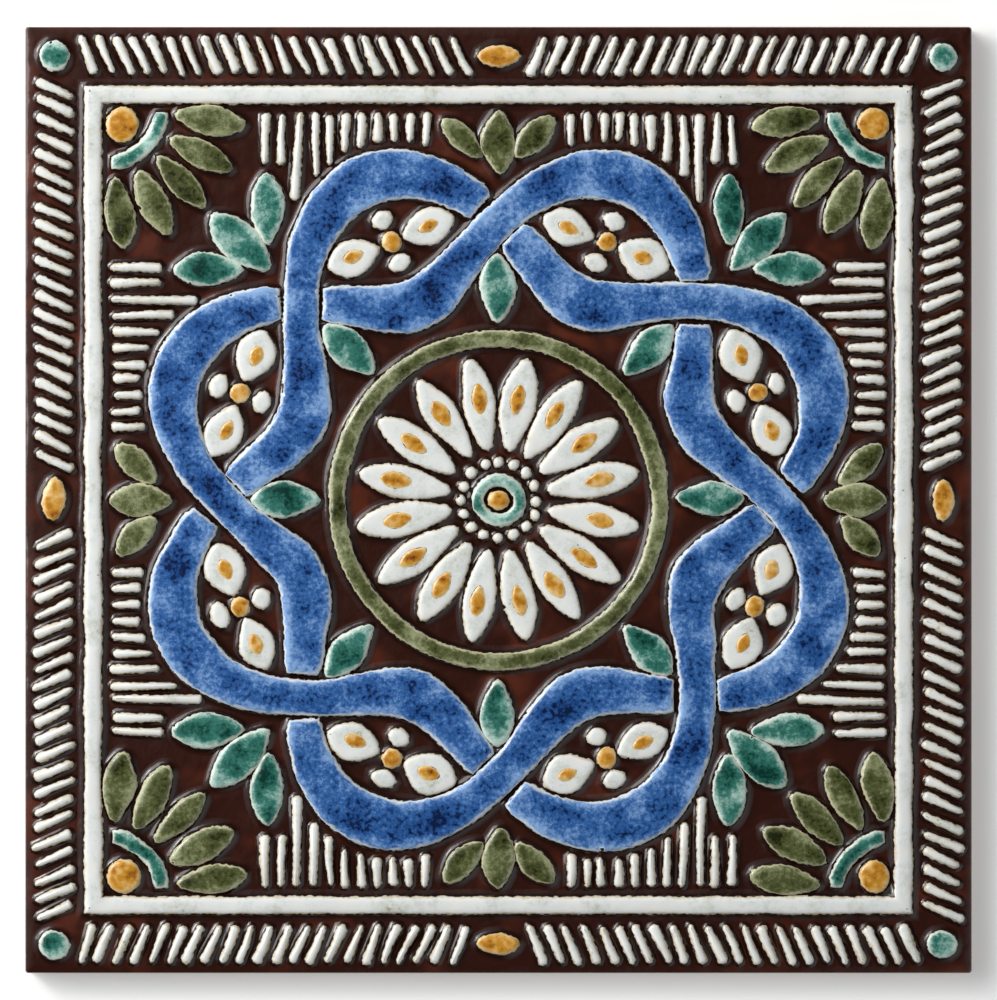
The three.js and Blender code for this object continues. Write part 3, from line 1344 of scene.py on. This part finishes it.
@dataclass
class Rosette(Ornament):
    """The daisy in the middle: a boss, beads, petals with seeds, and a plain ring round them.

    Attributes:
        ring_rise: height of the ring's margin.
        boss_rise: height of the boss's margin, and of the collar's.
        boss_inset: how far in the boss's rim is from the collar's.
        collar_width: in millimetres.
        seed: length and half width of the seed on each petal.
        seed_rise: height of the seed above the petal.
        seed_shift: how far out of the petal's middle the seed lies, as a share of its length.
    """

    rise: float = 1.75
    ring_rise: float = 2.1
    boss_rise: float = 2.2
    boss_inset: float = 5.3
    collar_width: float = 4.0
    seed: Pair = (9.0, 2.1)
    seed_rise: float = 0.22
    seed_shift: float = 0.06

    def build(self) -> Iterator[Thing]:
        """Model the rosette.

        Yields:
            Each finished piece.
        """
        bench, layout = self.bench, self.layout
        inner, outer = layout.daisy
        length, middle = outer - inner, (inner + outer) / 2
        petals = rounds(layout.daisy_petals, middle, first=0.5)
        petal = bench.leaf((length, layout.daisy_half_width), self.rise)
        yield bench.set_out("daisy_petals", Slot.WHITE, (petal, petals))
        bead = bench.bead(layout.bead, self.rise, 10, REED)
        beads = [Place(spot.x, spot.y) for spot in rounds(layout.beads, layout.bead_circle)]
        yield bench.set_out("daisy_beads", Slot.WHITE, (bead, beads))
        inside = layout.boss - self.collar_width
        collar = bench.band(inside, layout.boss, self.boss_rise, sides=36, square=False)
        yield bench.set_out("daisy_collar", Slot.TEAL, (collar, [Place()]), unsteady=0)
        boss = bench.bead(layout.boss - self.boss_inset, self.boss_rise, 20)
        yield bench.set_out("daisy_boss", Slot.OCHRE, (boss, [Place()]), unsteady=0)
        inside = layout.ring_inner
        ring = bench.band(inside, layout.ring_outer, self.ring_rise, sides=96, square=False)
        yield bench.set_out("daisy_ring", Slot.SAGE, (ring, [Place()]), unsteady=0)
        kernel = bench.leaf(self.seed, self.seed_rise, SEED, self.rise + LEAF.crown)
        seeds = rounds(layout.daisy_petals, middle + length * self.seed_shift, first=0.5)
        yield bench.set_out("daisy_seeds", Slot.OCHRE, (kernel, seeds))


@dataclass
class EyeFlowers(Ornament):
    """A white four-petalled flower with ochre seeds, in each eye of the plaited ring.

    Attributes:
        seed: length and half width of the seed on each large petal.
        seed_rise: height of the seed above the petal.
    """

    rise: float = 1.75
    seed: Pair = (6.2, 1.8)
    seed_rise: float = 0.22

    def build(self) -> Iterator[Thing]:
        """Model the flowers.

        Yields:
            Each finished piece.
        """
        bench, layout = self.bench, self.layout
        inside = layout.eye_seed + layout.motif_gap / 3
        across = layout.strap_swing - layout.strap_widest - layout.motif_gap
        apart = layout.strap_middle * layout.crossing_turn / 2
        along = apart - layout.crossing_depth - 2 * layout.motif_gap
        eyes = [layout.crossing_turn * (i + 0.5) for i in range(layout.crossings)]
        motifs = []
        for reach, half_width, first in (
            (across, layout.eye_across, 0),
            (along, layout.eye_along, 1),
        ):
            places = [
                Place(*polar((inside + reach) / 2, turn, *polar(layout.strap_middle, eye)), turn)
                for eye in eyes
                for turn in (eye + first * QUARTER, eye + (first + 2) * QUARTER)
            ]
            motifs.append((bench.leaf((reach - inside, half_width), self.rise), places))
        yield bench.set_out("eye_petals", Slot.WHITE, *motifs)
        knob = bench.bead(layout.eye_seed, self.rise, 14)
        knobs = [Place(*polar(layout.strap_middle, eye)) for eye in eyes]
        kernel = bench.leaf(self.seed, self.seed_rise, SEED, self.rise + LEAF.crown)
        large = motifs[1][1]
        yield bench.set_out("eye_seeds", Slot.OCHRE, (knob, knobs), (kernel, large))


@dataclass
class Drops(Ornament):
    """Teal drops between the rosette and the crossings of the straps."""

    def build(self) -> Iterator[Thing]:
        """Model the drops.

        Yields:
            The finished piece.
        """
        layout = self.layout
        inner = layout.ring_outer + layout.motif_gap
        outer = layout.strap_middle - layout.crossing_depth - layout.motif_gap
        drop = self.bench.leaf((outer - inner, layout.drop_half_width), self.rise)
        places = rounds(layout.crossings, (inner + outer) / 2)
        yield self.bench.set_out("drops", Slot.TEAL, (drop, places))


@dataclass
class Palmettes(Ornament):
    """Palmettes of three leaves outside the crossings, sage at the sides and teal to the corners."""

    def build(self) -> Iterator[Thing]:
        """Model both kinds.

        Yields:
            Each finished piece.
        """
        layout = self.layout
        length = layout.frame_inner - layout.motif_gap - layout.palmette_root
        petal = (length, layout.side_petal_half_width)
        motifs = self._motifs(0.0, petal, layout.side_wing)
        yield self.bench.set_out("side_palmettes", Slot.SAGE, *motifs)
        motifs = self._motifs(QUARTER / 2, layout.corner_petal, layout.corner_wing)
        yield self.bench.set_out("corner_palmettes", Slot.TEAL, *motifs)

    def _motifs(self, first: float, petal: Pair, wing: Pair) -> list[tuple[Thing, list[Place]]]:
        """Model the leaves of the four palmettes of one kind, and find their places.

        Args:
            first: the angle of the first palmette.
            petal: length and half width of the middle leaf.
            wing: length and half width of the side leaves.

        Returns:
            Each leaf with its places.
        """
        layout = self.layout
        petals, wings = [], []
        for quarter in QUARTERS:
            heading = first + quarter
            root = polar(layout.palmette_root, heading)
            petals.append(Place(*polar(petal[0] / 2, heading, *root), heading))
            for spread in (-layout.palmette_spread, layout.palmette_spread):
                turn = heading + spread
                middle = polar(layout.wing_start + wing[0] / 2, turn, *root)
                wings.append(Place(*middle, turn))
        leaves = ((petal, petals), (wing, wings))
        return [(self.bench.leaf(size, self.rise), places) for size, places in leaves]


@dataclass
class CornerFans(Ornament):
    """A fan in each corner of the square band: an ochre knob, a teal arc and sage petals.

    Attributes:
        cells: how many faces go along and across an arc.
    """

    cells: tuple[int, int] = (12, 2)

    def build(self) -> Iterator[Thing]:
        """Model the fans.

        Yields:
            Each finished piece.
        """
        bench, layout = self.bench, self.layout
        reach = layout.fan_arc[1] + layout.fan_gap + layout.fan_petal[0] / 2
        knob_at = layout.bar_gap * math.sqrt(2) + layout.fan_knob
        knobs, arcs, petals = [], [], []
        for quarter in QUARTERS:
            out = quarter + QUARTER / 2
            corner = polar(layout.frame_inner * math.sqrt(2), out)
            heading = out + math.pi
            knobs.append(Place(*polar(knob_at, heading, *corner)))
            arcs.append(Place(*corner, heading))
            for i in range(layout.fan_petals):
                turn = heading + (i / (layout.fan_petals - 1) - 0.5) * layout.fan_spread
                petals.append(Place(*polar(reach, turn, *corner), turn))
        knob = bench.bead(layout.fan_knob, self.rise, 18)
        yield bench.set_out("fan_knobs", Slot.OCHRE, (knob, knobs))
        yield bench.set_out("fan_arcs", Slot.TEAL, (self._arc(), arcs), unsteady=0.2)
        petal = bench.leaf(layout.fan_petal, self.rise)
        yield bench.set_out("fan_petals", Slot.SAGE, (petal, petals))

    def _arc(self) -> Thing:
        """Model one arc.

        Returns:
            The motif, with its centre at the origin.
        """
        inner, outer = self.layout.fan_arc
        middle = (inner + outer) / 2
        reach = (outer - inner) / 2 + BAND.flare
        spread = self.layout.fan_spread + 2 * BAND.flare / middle

        def path(along: float, across: float) -> Pair:
            """Find a point on the arc."""
            return polar(middle + reach * across, (along - 0.5) * spread)

        return self.bench.strip(self.cells, spread * middle, self.rise, path)


@dataclass
class ReedFields(Ornament):
    """White bars that run from the square band in to the plaited ring."""

    rise: float = 1.85

    def build(self) -> Iterator[Thing]:
        """Model one bar for each length and set them out on all four sides.

        Yields:
            The finished piece.
        """
        layout = self.layout
        outer = layout.frame_inner - layout.bar_gap
        wing_tip = (layout.wing_start + layout.side_wing[0]) * math.sin(layout.palmette_spread)
        first = wing_tip + layout.side_wing[1] + layout.bar_half_width
        foot = layout.palmette_root / math.sqrt(2)
        clearance = layout.motif_gap + layout.bar_half_width
        wing_edge = foot - layout.corner_wing[1] - clearance
        wing_end = foot + layout.wing_start + layout.corner_wing[0] + layout.motif_gap
        fan_reach = layout.fan_arc[1] + layout.fan_gap + layout.fan_petal[0]
        fan_tip = fan_reach * math.sin((QUARTER + layout.fan_spread) / 2)
        last = layout.frame_inner - fan_tip - clearance
        count = round((wing_edge - first) / layout.bar_pitch)
        pitch = (wing_edge - first) / count
        motifs = []
        for i in range(int((last - first) / pitch) + 1):
            across = first + pitch * i
            stop = wing_end if i > count else 0
            inner = outer
            while inner > stop and math.hypot(inner, across) > self._clear(inner, across):
                inner -= layout.bar_half_width / 2
            length = outer - inner
            if length < layout.shortest_bar:
                continue
            places = [
                Place(*spun((inner + outer) / 2, half, turn), turn + self.bench.either_way())
                for turn in QUARTERS
                for half in (-across, across)
            ]
            motifs.append((self.bench.bar(length, self.rise), places))
        yield self.bench.set_out("reeded_bars", Slot.WHITE, *motifs, unsteady=1.4)

    def _clear(self, x: float, y: float) -> float:
        """Radius that a bar may come in to at a point."""
        return self.layout.strap_reach(math.atan2(y, x)) + self.layout.bar_gap


@dataclass
class Border(Ornament):
    """The square band and the rope border outside it.

    Attributes:
        band_rise: height of the band's margin above the slab's face, in millimetres.
        band_cells: how many faces go along each side of the band.
    """

    rise: float = 1.85
    band_rise: float = 2.15
    band_cells: int = 71

    def build(self) -> Iterator[Thing]:
        """Model the band, the lozenges, the corner knobs and the rope bars.

        Yields:
            Each finished piece.
        """
        bench, layout = self.bench, self.layout
        sides = (layout.frame_inner, layout.frame_outer)
        band = bench.band(*sides, self.band_rise, self.band_cells, square=True)
        yield bench.set_out("square_band", Slot.WHITE, (band, [Place()]), unsteady=0)
        lozenge = bench.leaf(layout.lozenge, self.rise)
        places = [Place(*polar(layout.rope_middle, turn), turn + QUARTER) for turn in QUARTERS]
        yield bench.set_out("border_lozenges", Slot.OCHRE, (lozenge, places))
        knob = bench.bead(layout.corner_knob, self.rise, 18)
        diagonal = layout.rope_middle * math.sqrt(2)
        places = [Place(*polar(diagonal, turn + QUARTER / 2)) for turn in QUARTERS]
        yield bench.set_out("corner_knobs", Slot.TEAL, (knob, places))
        yield self._rope()

    def _rope(self) -> Thing:
        """Model one slanted bar and set the rope out on all four sides.

        Returns:
            The finished piece.
        """
        bench, layout = self.bench, self.layout
        lean = layout.rope_length * math.tan(layout.rope_slant) / 2
        first = layout.lozenge[0] / 2 + layout.motif_gap + lean
        last = layout.rope_middle - layout.corner_knob - layout.motif_gap - lean
        count = round((last - first) / layout.rope_pitch)
        length = layout.rope_length / math.cos(layout.rope_slant)
        length -= 2 * layout.bar_half_width * math.tan(layout.rope_slant)
        places = []
        for quarter in QUARTERS:
            for i in range(count + 1):
                across = first + (last - first) * i / count
                for half in (-1, 1):
                    spot = spun(layout.rope_middle, half * across, quarter)
                    turn = quarter + half * layout.rope_slant + bench.either_way()
                    places.append(Place(*spot, turn))
        bar = bench.bar(length, self.rise)
        return bench.set_out("rope_bars", Slot.WHITE, (bar, places), unsteady=1.4)


@dataclass
class Studio:
    """A pale floor, soft light and a camera straight above the tile.

    Attributes:
        layout: the tile's sizes.
        picture_px: the photograph's longer side.
        tile_px: the tile's side in the photograph.
        lens_mm: a long lens, because the photograph shows no side of the tile.
        sensor_mm: the camera's sensor.
        floor_size: in metres.
        lamp_from: where the lamps hang, in metres.
        room: how bright the room is all round.
    """

    layout: Layout
    picture_px: int = 1000
    tile_px: int = 947
    lens_mm: float = 200.0
    sensor_mm: float = 36.0
    floor_size: float = 8.0
    lamp_from: tuple[float, float, float] = (-1.1, 0.65, 0.85)
    room: float = 0.05

    def build(self) -> None:
        """Set up the floor, the lights, the world and the camera."""
        self._floor()
        self._lights()
        self._sky()
        self._camera()

    def _floor(self) -> None:
        """Lay a wide matt floor just under the tile."""
        floor = start(bpy.ops.mesh.primitive_plane_add, size=self.floor_size)
        floor.name = "floor"
        look = {"Base Color": linear("#f4f4f2"), "Roughness": 0.9, "IOR": 1.3}
        glow = {"Emission Color": linear("#ffffff"), "Emission Strength": 0.22}
        floor.data.materials.append(Paint("matt_white_paper").finished({**look, **glow}))

    def _lights(self) -> None:
        """Hang a broad softbox to the upper left, with a small lamp in front for the glints."""
        for name, size, power, reach in (
            ("key_softbox", 1.3, 22.6, 1.0),
            ("glint_lamp", 0.3, 5.0, 0.97),
        ):
            lamp = bpy.data.lights.new(name, "AREA")
            lamp.size = size
            lamp.energy = power
            holder = bpy.data.objects.new(name, lamp)
            holder.location = Vector(self.lamp_from) * reach
            holder.rotation_euler = (-holder.location).to_track_quat("-Z", "Y").to_euler()
            bpy.context.collection.objects.link(holder)
        bpy.context.scene.view_settings.view_transform = "Standard"

    def _sky(self) -> None:
        """Make a dim room, softly lit from the upper left and a little from the lower right."""
        world = bpy.data.worlds.new("studio")
        graph = Graph(world)
        ways = graph.add("TexCoord", out="Generated")
        strength = self.room
        for toward, edge, glow in (((-0.8, 0.45, 0.62), 0.5, 0.9), ((0.75, -0.5, 0.5), 0.6, 0.8)):
            pair = (ways, Vector(toward).normalized())
            facing = graph.add("VectorMath", pair, "Value", operation="DOT_PRODUCT")
            lobe = graph.add("MapRange", (facing, edge, 1.0, 0.0, glow), **SMOOTH)
            strength = graph.add("Math", (strength, lobe))
        graph.add("OutputWorld", (graph.add("Background", (linear("#f4f6f8"), strength)),))
        bpy.context.scene.world = world

    def _camera(self) -> None:
        """Put the camera straight above, where the tile has its size in the picture."""
        width = self.layout.side * MM * self.picture_px / self.tile_px
        height = width * self.lens_mm / self.sensor_mm
        lens = bpy.data.cameras.new("camera")
        lens.lens = self.lens_mm
        lens.sensor_width = self.sensor_mm
        lens.clip_end = 2 * height
        camera = bpy.data.objects.new("camera", lens)
        camera.location = (0, 0, height + self.layout.face * MM)
        bpy.context.collection.objects.link(camera)
        bpy.context.scene.camera = camera


PARTS = (
    Slab,
    PlaitedRing,
    Rosette,
    EyeFlowers,
    Drops,
    Palmettes,
    CornerFans,
    ReedFields,
    Border,
)


def main() -> None:
    """Load the frame, build the tile round it, set up the studio and note the sizes."""
    logging.basicConfig(level=logging.INFO, format="%(message)s")
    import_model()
    low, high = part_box(NODE)
    layout = Layout(side=(high.x - low.x) / MM)
    materials = {finish.slot: finish.build() for finish in FINISHES}
    bench = Workbench(layout, materials)
    for part in PARTS:
        for piece in part(bench).build():
            LOG.info("%s: %d faces", piece.name, len(piece.data.polygons))
    Studio(layout).build()


if __name__ == "__main__":
    main()
